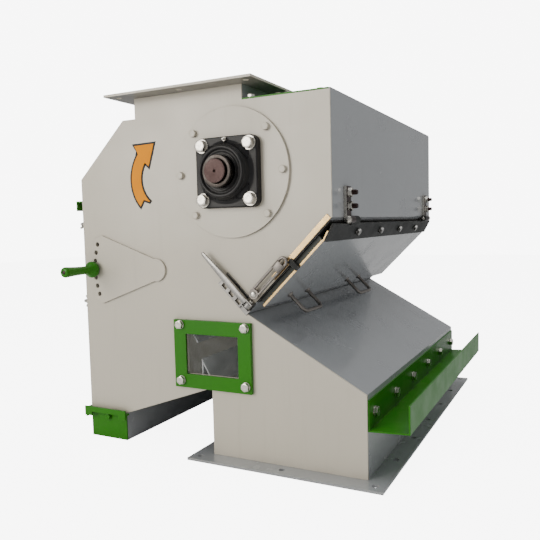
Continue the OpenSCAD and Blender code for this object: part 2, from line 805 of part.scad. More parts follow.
module latch_lever() color(zinc) at_rotor() at_latch() difference() {
    union() {
        translate([0, 0, latch_pin_z]) rotate([90, 0, 0]) cylinder(h = 11, r = 8, center = true);
        translate([0, 0, latch_pin_z]) linear_extrude(4)
            polygon([[0, -5.5], [60, -7], [142, -3], [145, 0], [142, 3], [60, 7], [0, 5.5]]);
    }
    translate([0, 0, latch_pin_z]) rotate([90, 0, 0]) cylinder(h = 40, r = latch_pin_r + 0.08, center = true);
}

module latch_loop() color(zinc) at_rotor() on_front()
    translate([loop_pivot[0], loop_pivot[1], loop_z]) rotate(45) {
        difference() {
            cylinder(h = 2 * loop_r, r = 10.5);
            translate([0, 0, -1]) cylinder(h = 10, r = 3.08);
        }
        for (y = [-1, 1]) translate([6, y * loop_half, loop_r]) rotate([0, 90, 0])
            cylinder(h = loop_len - 6, r = loop_r);
        translate([loop_len, 0, loop_r]) rotate(-90) rotate_extrude(angle = 180)
            translate([loop_half, 0]) circle(loop_r);
        translate([loop_len - 22, -loop_half - 1.5, 2 * loop_r - 1])
            cube([18, 2 * loop_half + 3, 4]);
    }

side_plate_front();
side_plate_rear();
back_wall();
neck_right_wall();
right_wall();
leg_floor();
hopper_roof();
inlet_flange();
base_flange();
top_rails();
top_cover();
door_seat();
door_sill();
spout_cap_front();
spout_cap_rear();
divider_plates();
feed_deflector();
screen();
screen_rails();
cover_disc_front();
cover_disc_rear();
cover_disc_bolts();
bearing_housing_front();
bearing_housing_rear();
bearing_outer_rings();
bearing_bolts();
grease_nipples();
window_frames();
window_panes();
window_bolts();
side_tray();
tray_bolts();
hinge_straps();
hinge_pins();
casing_bolts();
access_cover();
cover_rails();
cover_studs();
rotation_arrow();
latch_base();
latch_pins();
rotor_shaft();
rotor_discs();
disc_spacers();
hammer_rods();
bearing_inner_rings();
hammers_1();
hammers_2();
hammers_3();
hammers_4();
door_panel();
door_gasket();
door_top_bar();
door_bar_bolts();
door_handles();
flap_blade();
flap_lever();
clamp_handle();
latch_lever();
latch_loop();
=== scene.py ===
"""Materials, fittings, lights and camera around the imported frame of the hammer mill."""
import json
import math

import bmesh
import bpy
from mathutils import Matrix, Vector


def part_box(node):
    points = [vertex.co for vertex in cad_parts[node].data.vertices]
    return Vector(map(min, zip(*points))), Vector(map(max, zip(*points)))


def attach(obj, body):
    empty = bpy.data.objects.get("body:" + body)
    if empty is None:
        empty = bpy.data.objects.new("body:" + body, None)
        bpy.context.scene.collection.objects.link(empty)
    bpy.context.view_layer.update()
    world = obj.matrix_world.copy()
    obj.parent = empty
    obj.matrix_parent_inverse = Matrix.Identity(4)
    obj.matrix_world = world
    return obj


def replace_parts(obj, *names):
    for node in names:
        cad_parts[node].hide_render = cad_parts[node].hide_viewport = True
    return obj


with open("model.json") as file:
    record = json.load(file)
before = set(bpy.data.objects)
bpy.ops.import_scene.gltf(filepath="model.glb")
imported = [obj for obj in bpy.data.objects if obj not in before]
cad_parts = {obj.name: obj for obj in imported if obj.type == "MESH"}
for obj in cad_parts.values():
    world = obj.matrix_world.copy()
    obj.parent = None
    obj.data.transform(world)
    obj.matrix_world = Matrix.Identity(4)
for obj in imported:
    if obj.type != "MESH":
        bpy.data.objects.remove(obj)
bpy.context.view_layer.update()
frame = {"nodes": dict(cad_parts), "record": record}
NODES = frame["nodes"]
JOINTS = {j["name"]: j for j in frame["record"]["behaviour"]["joints"]}
SLOT = {s["node"]: s["material_slot"] for s in frame["record"]["subparts"]}
MM = 0.001
EDGE_ROUNDING = 1.0 * MM
CHIP_AND_HIGHLIGHT_WIDTH = 1.2 * MM


# ------------------------------------------------------------------ materials

class Graph:
    """A small helper that builds one node material."""

    def __init__(self, name):
        self.mat = bpy.data.materials.new(name)
        self.mat.use_nodes = True
        self.tree = self.mat.node_tree
        self.bsdf = self.tree.nodes["Principled BSDF"]
        coord = self.tree.nodes.new("ShaderNodeTexCoord")
        self.coord = coord.outputs["Object"]

    def set(self, **values):
        for key, value in values.items():
            self.bsdf.inputs[key.replace("_", " ")].default_value = value
        return self

    def link(self, a, b):
        self.tree.links.new(a, b)

    def node(self, kind, **settings):
        node = self.tree.nodes.new(kind)
        for key, value in settings.items():
            setattr(node, key, value)
        return node

    def noise(self, scale, detail=3.0, rough=0.55, stretch=None):
        tex = self.node("ShaderNodeTexNoise")
        tex.inputs["Scale"].default_value = scale
        tex.inputs["Detail"].default_value = detail
        tex.inputs["Roughness"].default_value = rough
        source = self.coord
        if stretch:
            mapping = self.node("ShaderNodeMapping")
            mapping.inputs["Scale"].default_value = stretch
            self.link(source, mapping.inputs["Vector"])
            source = mapping.outputs["Vector"]
        self.link(source, tex.inputs["Vector"])
        return tex.outputs["Fac"]

    def span(self, value, lo, hi, out_lo=0.0, out_hi=1.0):
        node = self.node("ShaderNodeMapRange")
        node.inputs["From Min"].default_value = lo
        node.inputs["From Max"].default_value = hi
        node.inputs["To Min"].default_value = out_lo
        node.inputs["To Max"].default_value = out_hi
        self.link(value, node.inputs["Value"])
        return node.outputs["Result"]

    def math(self, kind, a, b):
        node = self.node("ShaderNodeMath", operation=kind)
        for i, value in enumerate((a, b)):
            if isinstance(value, (int, float)):
                node.inputs[i].default_value = value
            else:
                self.link(value, node.inputs[i])
        return node.outputs[0]

    def mix(self, factor, a, b):
        node = self.node("ShaderNodeMix", data_type="RGBA")
        self.link(factor, node.inputs["Factor"])
        for socket, value in ((node.inputs[6], a), (node.inputs[7], b)):
            if isinstance(value, tuple):
                socket.default_value = (*value, 1.0)
            else:
                self.link(value, socket)
        return node.outputs[2]

    def corners(self, distance):
        """1 in the open, lower in corners and under edges."""
        node = self.node("ShaderNodeAmbientOcclusion", samples=6)
        node.inputs["Distance"].default_value = distance
        return node.outputs["AO"]

    def rounded_normal(self, radius):
        bevel = self.node("ShaderNodeBevel", samples=4)
        bevel.inputs["Radius"].default_value = radius
        return bevel.outputs["Normal"]

    def edges(self):
        """1 along edges, 0 on flat faces."""
        flat = self.node("ShaderNodeNewGeometry")
        dot = self.node("ShaderNodeVectorMath", operation="DOT_PRODUCT")
        self.link(self.rounded_normal(CHIP_AND_HIGHLIGHT_WIDTH), dot.inputs[0])
        self.link(flat.outputs["True Normal"], dot.inputs[1])
        return self.span(dot.outputs["Value"], 0.985, 0.80)

    def bump(self, *layers):
        """Each layer is (height, strength, distance)."""
        last = self.rounded_normal(EDGE_ROUNDING)
        for height, strength, distance in layers:
            node = self.node("ShaderNodeBump")
            node.inputs["Strength"].default_value = strength
            node.inputs["Distance"].default_value = distance
            self.link(height, node.inputs["Height"])
            self.link(last, node.inputs["Normal"])
            last = node.outputs["Normal"]
        self.link(last, self.bsdf.inputs["Normal"])


def paint(name, base, shade, dirt_and_shade, rough, peel=0.16, edge_wear_and_highlight=None, dust=0.5, under=None, coat=0.3,
          coat_rough=0.16, specular=0.5):
    """Enamel: clouded colour, specks, painted shade in corners and under edges, dirt streaks, chipped edges
    that carry a painted edge highlight and an orange-peel surface.
    The wear colour is that of bare, lit edges (wear and painted highlight), the under colour that of painted
    shade on faces that look down, the dirt colour that of the painted corner shade and of the streaks; dust
    sets how strong both are."""
    g = Graph(name)
    g.set(Metallic=0.0, Coat_Weight=coat, Coat_Roughness=coat_rough, Specular_IOR_Level=specular)
    cloud = g.span(g.noise(3.5, 4), 0.3, 0.7)
    colour = g.mix(cloud, base, shade)
    speck = g.span(g.noise(160, 2), 0.62, 0.75, 0.0, 0.35)
    colour = g.mix(speck, colour, shade)
    # Painted shade: darker towards the dirt colour in corners and under edges, from ambient occlusion mottled
    # by noise; dust sets its strength.
    corner_shade = g.math("MULTIPLY", g.span(g.corners(30 * MM), 0.85, 0.35),
                   g.span(g.noise(22, 5), 0.3, 0.7, 0.25, 1.0))
    colour = g.mix(g.math("MULTIPLY", corner_shade, dust), colour, dirt_and_shade)
    streak = g.span(g.noise(9, 4, 0.6, (6.0, 6.0, 0.35)), 0.56, 0.74, 0.0, 0.22 * dust)
    colour = g.mix(streak, colour, dirt_and_shade)
    # Painted shade: faces that look down turn towards the under colour, mottled by noise.
    if under:
        facing = g.node("ShaderNodeSeparateXYZ")
        flat = g.node("ShaderNodeNewGeometry")
        g.link(flat.outputs["True Normal"], facing.inputs[0])
        low = g.math("MULTIPLY", g.span(facing.outputs["Z"], -0.35, -0.8),
                     g.span(g.noise(5, 4), 0.3, 0.7, 0.75, 1.0))
        colour = g.mix(low, colour, under)
    # Painted edge highlight and wear: edges turn towards the lighter wear colour, broken into chips by noise.
    if edge_wear_and_highlight:
        chips_and_highlight = g.math("MULTIPLY", g.edges(), g.span(g.noise(70, 4), 0.52, 0.6))
        colour = g.mix(chips_and_highlight, colour, edge_wear_and_highlight)
    g.link(colour, g.bsdf.inputs["Base Color"])
    g.link(g.span(g.noise(14, 4), 0.3, 0.7, rough - 0.06, rough + 0.10), g.bsdf.inputs["Roughness"])
    g.bump((g.noise(6, 2), 0.6 * peel, 1.2 * MM), (g.noise(420, 2), peel, 0.4 * MM))
    return g.mat


def metal(name, base, shade, rough, grain, grain_scale, marks, dirt_and_shade=(0.05, 0.04, 0.03), corner_shade=0.5):
    """Bare or plated metal: grain stretches the surface lines, marks is their depth of colour; the last two
    arguments give the colour and strength of painted shade in corners.
    """
    g = Graph(name)
    g.set(Metallic=1.0)
    cloud = g.span(g.noise(18, 4), 0.3, 0.7)
    colour = g.mix(cloud, base, shade)
    lines = g.noise(grain_scale, 4, 0.65, grain)
    colour = g.mix(g.span(lines, 0.35, 0.75, 0.0, marks), colour, shade)
    # Painted shade: darker towards the dirt colour in corners and under edges, from ambient occlusion mottled
    # by noise.
    corner = g.math("MULTIPLY", g.span(g.corners(12 * MM), 0.9, 0.4),
                    g.span(g.noise(60, 4), 0.3, 0.7, 0.3, 1.0))
    colour = g.mix(g.math("MULTIPLY", corner, corner_shade), colour, dirt_and_shade)
    g.link(colour, g.bsdf.inputs["Base Color"])
    g.link(g.span(lines, 0.3, 0.7, rough - 0.07, rough + 0.12), g.bsdf.inputs["Roughness"])
    g.bump((lines, 0.10, 0.5 * MM), (g.noise(700, 2), 0.05, 0.3 * MM))
    return g.mat


PAINTS = {
    "cream_paint": dict(base=(0.62, 0.575, 0.475), shade=(0.58, 0.54, 0.45), dirt_and_shade=(0.34, 0.30, 0.24),
                        rough=0.34, under=(0.10, 0.095, 0.085)),
    # grey_paint is a darker, cooler copy of the cream paint: painted shade and a painted cool tint on the
    # sheets that take it.
    "grey_paint": dict(base=(0.335, 0.350, 0.365), shade=(0.320, 0.335, 0.350), dirt_and_shade=(0.22, 0.21, 0.19),
                       rough=0.20, peel=0.04, edge_wear_and_highlight=(0.72, 0.66, 0.56), dust=0.25, coat=0.32, coat_rough=0.07),
    "green_paint": dict(base=(0.022, 0.195, 0.0), shade=(0.017, 0.158, 0.0), dirt_and_shade=(0.02, 0.06, 0.003),
                        rough=0.34, peel=0.08, edge_wear_and_highlight=(0.12, 0.26, 0.06), dust=0.35, coat=0.08, coat_rough=0.10,
                        specular=0.22),
    "dark_steel": dict(base=(0.016, 0.018, 0.017), shade=(0.011, 0.012, 0.012), dirt_and_shade=(0.05, 0.04, 0.035),
                       rough=0.50, peel=0.2, edge_wear_and_highlight=(0.34, 0.32, 0.29), dust=0.5, coat=0.0, specular=0.22),
    "bearing_iron": dict(base=(0.008, 0.008, 0.009), shade=(0.013, 0.013, 0.014), dirt_and_shade=(0.03, 0.027, 0.024),
                         rough=0.36, peel=0.5, edge_wear_and_highlight=(0.06, 0.055, 0.05), dust=0.3, coat=0.06, specular=0.22),
}
EVEN = (1.0, 1.0, 1.0)
METALS = {
    # The gold tint of stainless is a painted warm reflection; the steel itself is near grey.
    "stainless": dict(base=(0.86, 0.60, 0.27), shade=(0.62, 0.43, 0.20), rough=0.27, grain=(1.0, 30.0, 1.0),
                      grain_scale=40, marks=0.5, dirt_and_shade=(0.10, 0.08, 0.06), corner_shade=0.9),
    "latch_steel": dict(base=(0.40, 0.39, 0.37), shade=(0.24, 0.235, 0.23), rough=0.32, grain=EVEN,
                        grain_scale=70, marks=0.4, dirt_and_shade=(0.04, 0.038, 0.034), corner_shade=0.95),
    "zinc": dict(base=(0.76, 0.73, 0.66), shade=(0.58, 0.56, 0.52), rough=0.26, grain=EVEN, grain_scale=140,
                 marks=0.35),
    "wear_steel": dict(base=(0.30, 0.28, 0.26), shade=(0.20, 0.18, 0.165), rough=0.42, grain=(1.0, 12.0, 1.0),
                       grain_scale=60, marks=0.5, dirt_and_shade=(0.12, 0.07, 0.04)),
    "shaft_steel": dict(base=(0.078, 0.056, 0.054), shade=(0.034, 0.022, 0.021), rough=0.36,
                        grain=(22.0, 1.0, 22.0), grain_scale=30, marks=0.6, dirt_and_shade=(0.06, 0.03, 0.02), corner_shade=0.7),
    "bearing_steel": dict(base=(0.060, 0.055, 0.052), shade=(0.035, 0.030, 0.028), rough=0.28, grain=EVEN,
                          grain_scale=120, marks=0.4),
}


def rubber():
    g = Graph("gasket_rubber")
    g.set(Metallic=0.0)
    colour = g.mix(g.span(g.noise(60, 4), 0.35, 0.65), (0.050, 0.055, 0.048), (0.072, 0.076, 0.066))
    g.link(colour, g.bsdf.inputs["Base Color"])
    g.link(g.span(g.noise(30, 3), 0.3, 0.7, 0.62, 0.8), g.bsdf.inputs["Roughness"])
    g.bump((g.noise(900, 3), 0.5, 0.6 * MM))
    return g.mat


def pane():
    g = Graph("pane_clear")
    g.set(Metallic=0.0, IOR=1.49, Roughness=0.03)
    dust = g.span(g.noise(40, 5), 0.45, 0.8, 0.0, 0.5)
    g.link(g.mix(dust, (0.75, 0.80, 0.79), (0.62, 0.60, 0.55)), g.bsdf.inputs["Base Color"])
    g.link(g.span(g.noise(50, 4), 0.45, 0.85, 0.03, 0.07), g.bsdf.inputs["Alpha"])
    return g.mat


def arrow_paint():
    g = Graph("arrow_paint")
    g.set(Metallic=0.0, Specular_IOR_Level=0.06)
    colour = g.mix(g.span(g.noise(20, 3), 0.3, 0.7), (0.90, 0.32, 0.0), (0.84, 0.29, 0.0))
    g.link(colour, g.bsdf.inputs["Base Color"])
    g.link(g.span(g.noise(12, 3), 0.3, 0.7, 0.34, 0.46), g.bsdf.inputs["Roughness"])
    g.bump((g.noise(420, 2), 0.12, 0.4 * MM))
    return g.mat


M = {name: paint(name, **looks) for name, looks in PAINTS.items()}
M.update({name: metal(name, **looks) for name, looks in METALS.items()})
M.update(gasket_rubber=rubber(), pane_clear=pane(), arrow_paint=arrow_paint())


def dress(obj, name):
    obj.data.materials.clear()
    obj.data.materials.append(M[name])


for name, obj in NODES.items():
    dress(obj, SLOT[name])


# ------------------------------------------------------------------ mesh helpers

def finish_mesh(name, bm, slot, body, smooth_deg=40):
    mesh = bpy.data.meshes.new(name)
    bmesh.ops.remove_doubles(bm, verts=bm.verts, dist=1e-6)
    bmesh.ops.recalc_face_normals(bm, faces=bm.faces)
    bm.to_mesh(mesh)
    bm.free()
    obj = bpy.data.objects.new(name, mesh)
    bpy.context.scene.collection.objects.link(obj)
    mesh.materials.append(M[slot])
    for poly in mesh.polygons:
        poly.use_smooth = True
    mesh.set_sharp_from_angle(angle=math.radians(smooth_deg))
    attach(obj, body)
    return obj


def mm(*pairs, lift=0.0):
    """Pairs given in millimetres, with lift added to the second of each."""
    return [(a * MM, lift + b * MM) for a, b in pairs]


def basis(origin, z_axis):
    """A frame at origin with z along z_axis and x as near to upright as it can be."""
    up = Vector((0, 0, 1))
    z = Vector(z_axis).normalized()
    x = up - up.dot(z) * z
    if x.length < 1e-6:
        x = Vector((1, 0, 0)) - Vector((1, 0, 0)).dot(z) * z
    x.normalize()
    y = z.cross(x)
    m = Matrix((x, y, z)).transposed().to_4x4()
    m.translation = Vector(origin)
    return m


def ring(bm, m, points):
    return [bm.verts.new(m @ Vector(p)) for p in points]


def bridge(bm, a, b):
    n = len(a)
    for i in range(n):
        bm.faces.new((a[i], a[(i + 1) % n], b[(i + 1) % n], b[i]))


def raised(m, z):
    """The frame m moved along its own z axis."""
    return m @ Matrix.Translation((0, 0, z))


def full_turn(steps):
    """Angles once round, in equal steps."""
    return [2 * math.pi * i / steps for i in range(steps)]


def polar(r, a, h):
    return r * math.cos(a), r * math.sin(a), h


def cone(bm, rim, tip):
    for i in range(len(rim)):
        bm.faces.new((rim[i], rim[(i + 1) % len(rim)], tip))


def lathe(bm, m, profile, steps=40, swell=None):
    """profile is a list of (radius, height); radius 0 closes the end.
    swell gives a factor for the radius at an angle and a height."""
    last = None
    for r, h in profile:
        if r < 1e-7:
            here = [bm.verts.new(m @ Vector((0, 0, h)))]
        else:
            here = ring(bm, m, [polar(r * swell(a, h) if swell else r, a, h) for a in full_turn(steps)])
        if last is not None:
            if len(here) == 1 and len(last) > 1:
                cone(bm, last, here[0])
            elif len(last) == 1 and len(here) > 1:
                cone(bm, here, last[0])
            elif len(here) > 1:
                bridge(bm, last, here)
        last = here


HEX_RIM = 0.95
HEX_DISH = 0.62
HEX_DISH_DEPTH = 0.2 * MM
HEX_CHAMFER = 0.58


def hex_head(bm, m, flats, height, steps=48):
    """A hex head with the usual chamfer on its top corners, standing on z = 0."""
    half = flats / 2
    rim = HEX_RIM * half

    def reach(a):
        local = (a % (math.pi / 3)) - math.pi / 6
        return half / math.cos(local)
    angles = full_turn(steps)
    low = ring(bm, m, [polar(reach(a), a, 0) for a in angles])
    top = ring(bm, m, [polar(reach(a), a, height - (reach(a) - rim) * HEX_CHAMFER) for a in angles])
    inner = ring(bm, m, [polar(rim, a, height) for a in angles])
    face = ring(bm, m, [polar(rim * HEX_DISH, a, height - HEX_DISH_DEPTH) for a in angles])
    bm.faces.new(list(reversed(low)))
    bridge(bm, low, top)
    bridge(bm, top, inner)
    bridge(bm, inner, face)
    bm.faces.new(face)


def islands(node):
    """The corners of each separate solid of a CAD node, in order along X, then Y."""
    mesh = NODES[node].data
    key = {}
    ids = []
    for v in mesh.vertices:
        ids.append(key.setdefault(tuple(round(c, 5) for c in v.co), len(key)))
    parent = list(range(len(key)))

    def root(i):
        while parent[i] != i:
            parent[i] = parent[parent[i]]
            i = parent[i]
        return i
    for poly in mesh.polygons:
        first = root(ids[poly.vertices[0]])
        for v in poly.vertices[1:]:
            parent[root(ids[v])] = first
    groups = {}
    for co, i in key.items():
        groups.setdefault(root(i), []).append(Vector(co))
    return sorted(groups.values(), key=lambda g: tuple(min(g, key=tuple)))


def along(points, axis):
    """A frame on the middle line of a solid, with z along axis, and its lowest and highest z there."""
    m = basis((0, 0, 0), axis)
    local = [m.inverted() @ p for p in points]
    x, y = ((min(p[i] for p in local) + max(p[i] for p in local)) / 2 for i in (0, 1))
    m = m @ Matrix.Translation((x, y, 0))
    return m, min(p.z for p in local), max(p.z for p in local)


def thread(bm, m, radius, low, high, pitch=1.4 * MM):
    """Ridges of a screw thread between two heights, with a chamfered end."""
    root = radius * 0.88
    profile = [(root, low)]
    z = low
    while z + pitch < high - 0.8 * MM:
        profile += [(radius, z + pitch * 0.35), (radius, z + pitch * 0.55), (root, z + pitch)]
        z += pitch
    profile += [(radius * 0.80, high), (0, high)]
    lathe(bm, m, profile, 20)


WASHER = 1.6 * MM


def hex_bolt(bm, points, axis, flats, washer_r, head_h, shank_r, stub=0.0, ends=None):
    """One chamfered bolt with its washer in the place of a plain CAD bolt; sizes in mm.
    A stub is the free thread past the nut, drawn in the mesh given as ends."""
    flats, washer_r, head_h, shank_r, stub = (v * MM for v in (flats, washer_r, head_h, shank_r, stub))
    m, low, high = along(points, axis)
    seat = high - stub - head_h - WASHER
    m = raised(m, seat) @ Matrix.Rotation(7.0 * sum(points[0]), 4, "Z")
    lathe(bm, m, [(shank_r, 0), (washer_r - 0.3 * MM, 0), (washer_r, 0.3 * MM), (washer_r, WASHER - 0.4 * MM),
                  (washer_r - 0.4 * MM, WASHER), (shank_r, WASHER)])
    hex_head(bm, raised(m, WASHER), flats, head_h)
    if stub:
        thread(ends, m, shank_r, WASHER + head_h - 0.3 * MM, high - seat)
    thread(bm, m @ Matrix.Rotation(math.pi, 4, "X"), shank_r, 0, seat - low)


def hex_bolts(name, node, axis, sizes, body, slot="zinc", only=None):
    """Bolts for each solid of a CAD node; axis is a direction or a function of a solid's points."""
    bm = bmesh.new()
    ends = bmesh.new()
    for points in islands(node):
        if only is None or only(points):
            hex_bolt(bm, points, axis(points) if callable(axis) else axis, *sizes, ends=ends)
    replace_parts(finish_mesh(name, bm, slot, body), node)
    if ends.verts:
        finish_mesh(name + "_ends", ends, "shaft_steel", body)
    else:
        ends.free()


def outward_y(points):
    return (0, 1 if sum(p.y for p in points) > 0 else -1, 0)


def tube(bm, points, radius, steps):
    """Round wire along points, with flat ends."""
    pts = [Vector(p) for p in points]
    n = len(pts)
    rings = []
    side = None
    for i, p in enumerate(pts):
        t = (pts[min(i + 1, n - 1)] - pts[max(i - 1, 0)]).normalized()
        if side is None:
            side = t.orthogonal().normalized()
        side = (side - side.dot(t) * t).normalized()
        up = t.cross(side)
        rings.append([bm.verts.new(p + radius * (math.cos(a) * side + math.sin(a) * up))
                      for a in full_turn(steps)])
    for a, b in zip(rings, rings[1:]):
        bridge(bm, a, b)
    bm.faces.new(list(reversed(rings[0])))
    bm.faces.new(rings[-1])


def rounded(points, radius, steps):
    """A polyline with its inner corners replaced by arcs."""
    pts = [Vector(p) for p in points]
    out = [pts[0]]
    for a, b, c in zip(pts, pts[1:], pts[2:]):
        u = (a - b).normalized()
        v = (c - b).normalized()
        half = u.angle(v) / 2
        cut = radius / math.tan(half)
        centre = b + (u + v).normalized() * radius / math.sin(half)
        start = b + u * cut - centre
        end = b + v * cut - centre
        for i in range(steps + 1):
            out.append(centre + turned(start, end, i / steps))
    out.append(pts[-1])
    return out


def turned(a, b, t):
    """a turned by the share t of the way to b."""
    angle = a.angle(b)
    return (math.sin((1 - t) * angle) * a + math.sin(t * angle) * b) / math.sin(angle)


# ------------------------------------------------------------------ places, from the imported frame

def joint_at(name):
    return Vector(JOINTS[name]["pos_m"])


AXIS = joint_at("rotor_spin")
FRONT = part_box("side_plate_front")[0][1]
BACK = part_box("side_plate_rear")[1][1]
S = math.sqrt(0.5)


def on_shaft(side, y=None):
    """A frame on the rotor's axis, z out of the casing, y up; side is -1 in front, 1 behind.
    It stands on the side plate's outer face unless y says otherwise."""
    m = Matrix(((1, 0, 0), (0, 0, side), (0, 1, 0))).to_4x4()
    if y is None:
        y = FRONT if side < 0 else BACK
    m.translation = Vector((AXIS.x, y, AXIS.z))
    return m


# ------------------------------------------------------------------ bolts

BAR_OUT = Vector((0.8635, 0, -0.5043))
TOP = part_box("top_cover")[1][2]
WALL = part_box("right_wall")[1][0]

hex_bolts("cover_disc_hex_bolts", "cover_disc_bolts", outward_y, (13, 7.5, 5.3, 4), "casing",
          slot="cream_paint")
hex_bolts("bearing_hex_bolts", "bearing_bolts", outward_y, (21, 14, 8.8, 7), "casing")
hex_bolts("window_hex_bolts", "window_bolts", outward_y, (16, 9.5, 6.4, 5), "casing")
hex_bolts("tray_hex_bolts", "tray_bolts", (1, 0, 0), (17, 10, 6.4, 5), "casing")
hex_bolts("door_bar_hex_bolts", "door_bar_bolts", BAR_OUT, (13, 7, 5.3, 4), "door",
          slot="latch_steel")
hex_bolts("top_cover_hex_bolts", "casing_bolts", (0, 0, 1), (13, 8, 5.3, 4), "casing",
          only=lambda points: max(p.z for p in points) > TOP)
hex_bolts("hinge_hex_bolts", "casing_bolts", (1, 0, 0), (16, 9, 6.4, 5, 10), "casing",
          only=lambda points: max(p.z for p in points) < TOP and max(p.x for p in points) > WALL)
hex_bolts("spout_cap_hex_bolts", "casing_bolts", outward_y, (13, 7, 5.3, 4), "casing", slot="green_paint",
          only=lambda points: max(p.x for p in points) < 0 and max(p.z for p in points) < 0.2)


# ------------------------------------------------------------------ bearings

FLANGE_BACK = 6 * MM
FLANGE_T = 16 * MM
FLANGE_HALF = 68.5 * MM
FLANGE_CORNER = 16 * MM
BOLT_AT = 52.5 * MM
PAD_R = 15 * MM
PAD_RAMP = 2 * MM
PAD_LIFT = 0.6 * MM
HUB_FOOT = 60 * MM
RIM_IN = 2 * MM


def flange_reach(angle):
    """How far the square flange with round corners reaches in a direction."""
    c, s = abs(math.cos(angle)), abs(math.sin(angle))
    big, small = max(c, s), min(c, s)
    straight = FLANGE_HALF / big
    core = FLANGE_HALF - FLANGE_CORNER
    if straight * small <= core:
        return straight
    b = core * (c + s)
    return b + math.sqrt(b * b - 2 * core * core + FLANGE_CORNER ** 2)


def bearing_casting(name, node, side):
    """The cast housing: flat flange, raised bolt pads, fillet, tapered hub with a turned rim."""
    hub = mm((42.5, 30.0), (42.5, 36.6), (43.3, 37.4), (46.5, 38.0), (48.6, 37.6), (49.6, 36.0), (50.2, 33.0),
             (50.4, 31.6), (51.6, 30.9), (52.3, 29.5), (54.2, 21.5), (55.3, 18.3), (57.2, 16.9), (60.0, 16.2),
             lift=FLANGE_BACK)
    top = FLANGE_BACK + FLANGE_T
    bm = bmesh.new()
    m = on_shaft(side)
    rows = []
    for a in full_turn(168):
        u = Vector((math.cos(a), math.sin(a)))
        reach = flange_reach(a)
        row = [(u * r, h) for r, h in hub]
        for k in range(1, 9):
            p = u * (HUB_FOOT + (reach - RIM_IN - HUB_FOOT) * k / 8)
            near = (Vector((abs(p.x), abs(p.y))) - Vector((BOLT_AT, BOLT_AT))).length
            on_pad = max(0.0, min(1.0, (PAD_R + PAD_RAMP - near) / PAD_RAMP))
            row.append((p, top - PAD_LIFT + PAD_LIFT * on_pad))
        row += [(u * (reach - 0.6 * MM), top - 1.3 * MM), (u * reach, top - 3 * MM), (u * reach, FLANGE_BACK)]
        rows.append([bm.verts.new(m @ Vector((p.x, p.y, h))) for p, h in row])
    for a, b in zip(rows, rows[1:] + rows[:1]):
        for k in range(len(a) - 1):
            bm.faces.new((a[k], a[k + 1], b[k + 1], b[k]))
        bm.faces.new((a[0], b[0], b[-1], a[-1]))
    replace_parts(finish_mesh(name, bm, "bearing_iron", "casing", 50), node)


def bearing_seals():
    """Stepped rings that close the housings round the inner rings."""
    bm = bmesh.new()
    for side in (-1, 1):
        m = on_shaft(side)
        lathe(bm, m, mm(
            (31.0, 31.0), (31.0, 34.4), (31.6, 35.2), (32.8, 35.2), (33.6, 33.8), (37.0, 33.4), (38.4, 34.6),
            (39.8, 34.8), (41.2, 34.2), (42.3, 35.6), (42.3, 31.0), (31.0, 31.0), lift=FLANGE_BACK), 72)
    finish_mesh("bearing_seals", bm, "bearing_iron", "casing", 50)


SET_SCREW_ANGLES = (30, 150)
SET_SCREW_R = 24 * MM
SET_SCREW_AT = FLANGE_BACK + 46.5 * MM


def bearing_collars():
    """Inner rings with a chamfered locking collar and two sunk set screws each."""
    bm = bmesh.new()
    screws = bmesh.new()
    for side in (-1, 1):
        m = on_shaft(side)
        lathe(bm, m, mm(
            (22.5, 3), (30.0, 3), (30.0, 40.4), (29.2, 40.8), (29.2, 41.6), (30.4, 42.0), (31.0, 42.6),
            (31.0, 50.6), (30.2, 51.6), (26.0, 52.0), (23.6, 52.0), (22.5, 51.2), (22.5, 3),
            lift=FLANGE_BACK), 72)
        for angle in SET_SCREW_ANGLES:
            out = Vector(polar(1, math.radians(angle), 0))
            screw = m @ basis(out * SET_SCREW_R + Vector((0, 0, SET_SCREW_AT)), out)
            lathe(screws, screw, mm((2.9, 0), (2.9, 6.8), (2.5, 7.15), (1.5, 7.15), (1.5, 5.0), (0, 5.0)), 24)
    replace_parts(finish_mesh("bearing_lock_collars", bm, "bearing_steel", "rotor", 40), "bearing_inner_rings")
    finish_mesh("collar_set_screws", screws, "shaft_steel", "rotor", 40)


def shaft_end():
    """The turned front end of the shaft: chamfer, facing rings and a centre drilling."""
    bm = bmesh.new()
    m = on_shaft(-1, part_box("rotor_shaft")[0].y)
    profile = [(22.6, -2.2), (22.6, -1.6), (21.2, 0.15)]
    profile += [(21.0 - 0.9 * k, 0.12 if k % 2 else 0.22) for k in range(20)]
    profile += [(3.2, 0.2), (2.6, -0.6), (1.3, -2.0), (1.2, -3.0), (0, -3.2)]
    lathe(bm, m, mm(*profile), 64)
    finish_mesh("shaft_end_turning", bm, "shaft_steel", "rotor", 25)


def grease_fittings():
    """A stem, a small hex and the ball-shaped nipple on it."""
    bm = bmesh.new()
    stem, neck = 2.9 * MM, 6.4 * MM
    hex_flats, hex_height = 7.8 * MM, 3.6 * MM
    for points in islands("grease_nipples"):
        m, low, high = along(points, outward_y(points))
        shoulder = high - neck - hex_height
        lathe(bm, raised(m, low), [(0, 0), (stem, 0), (stem, shoulder - low)], 20)
        hex_head(bm, raised(m, shoulder), hex_flats, hex_height)
        lathe(bm, raised(m, high - neck), mm(
            (2.2, 0), (2.0, 1.8), (1.7, 2.6), (2.9, 3.8), (3.1, 4.6), (2.6, 5.6), (1.4, 6.3), (0.5, 6.35),
            (0, 6.0)), 24)
    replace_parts(finish_mesh("grease_fittings", bm, "zinc", "casing", 35), "grease_nipples")


bearing_casting("bearing_casting_front", "bearing_housing_front", -1)
bearing_casting("bearing_casting_rear", "bearing_housing_rear", 1)
bearing_seals()
bearing_collars()
shaft_end()
grease_fittings()


# ------------------------------------------------------------------ pins and studs

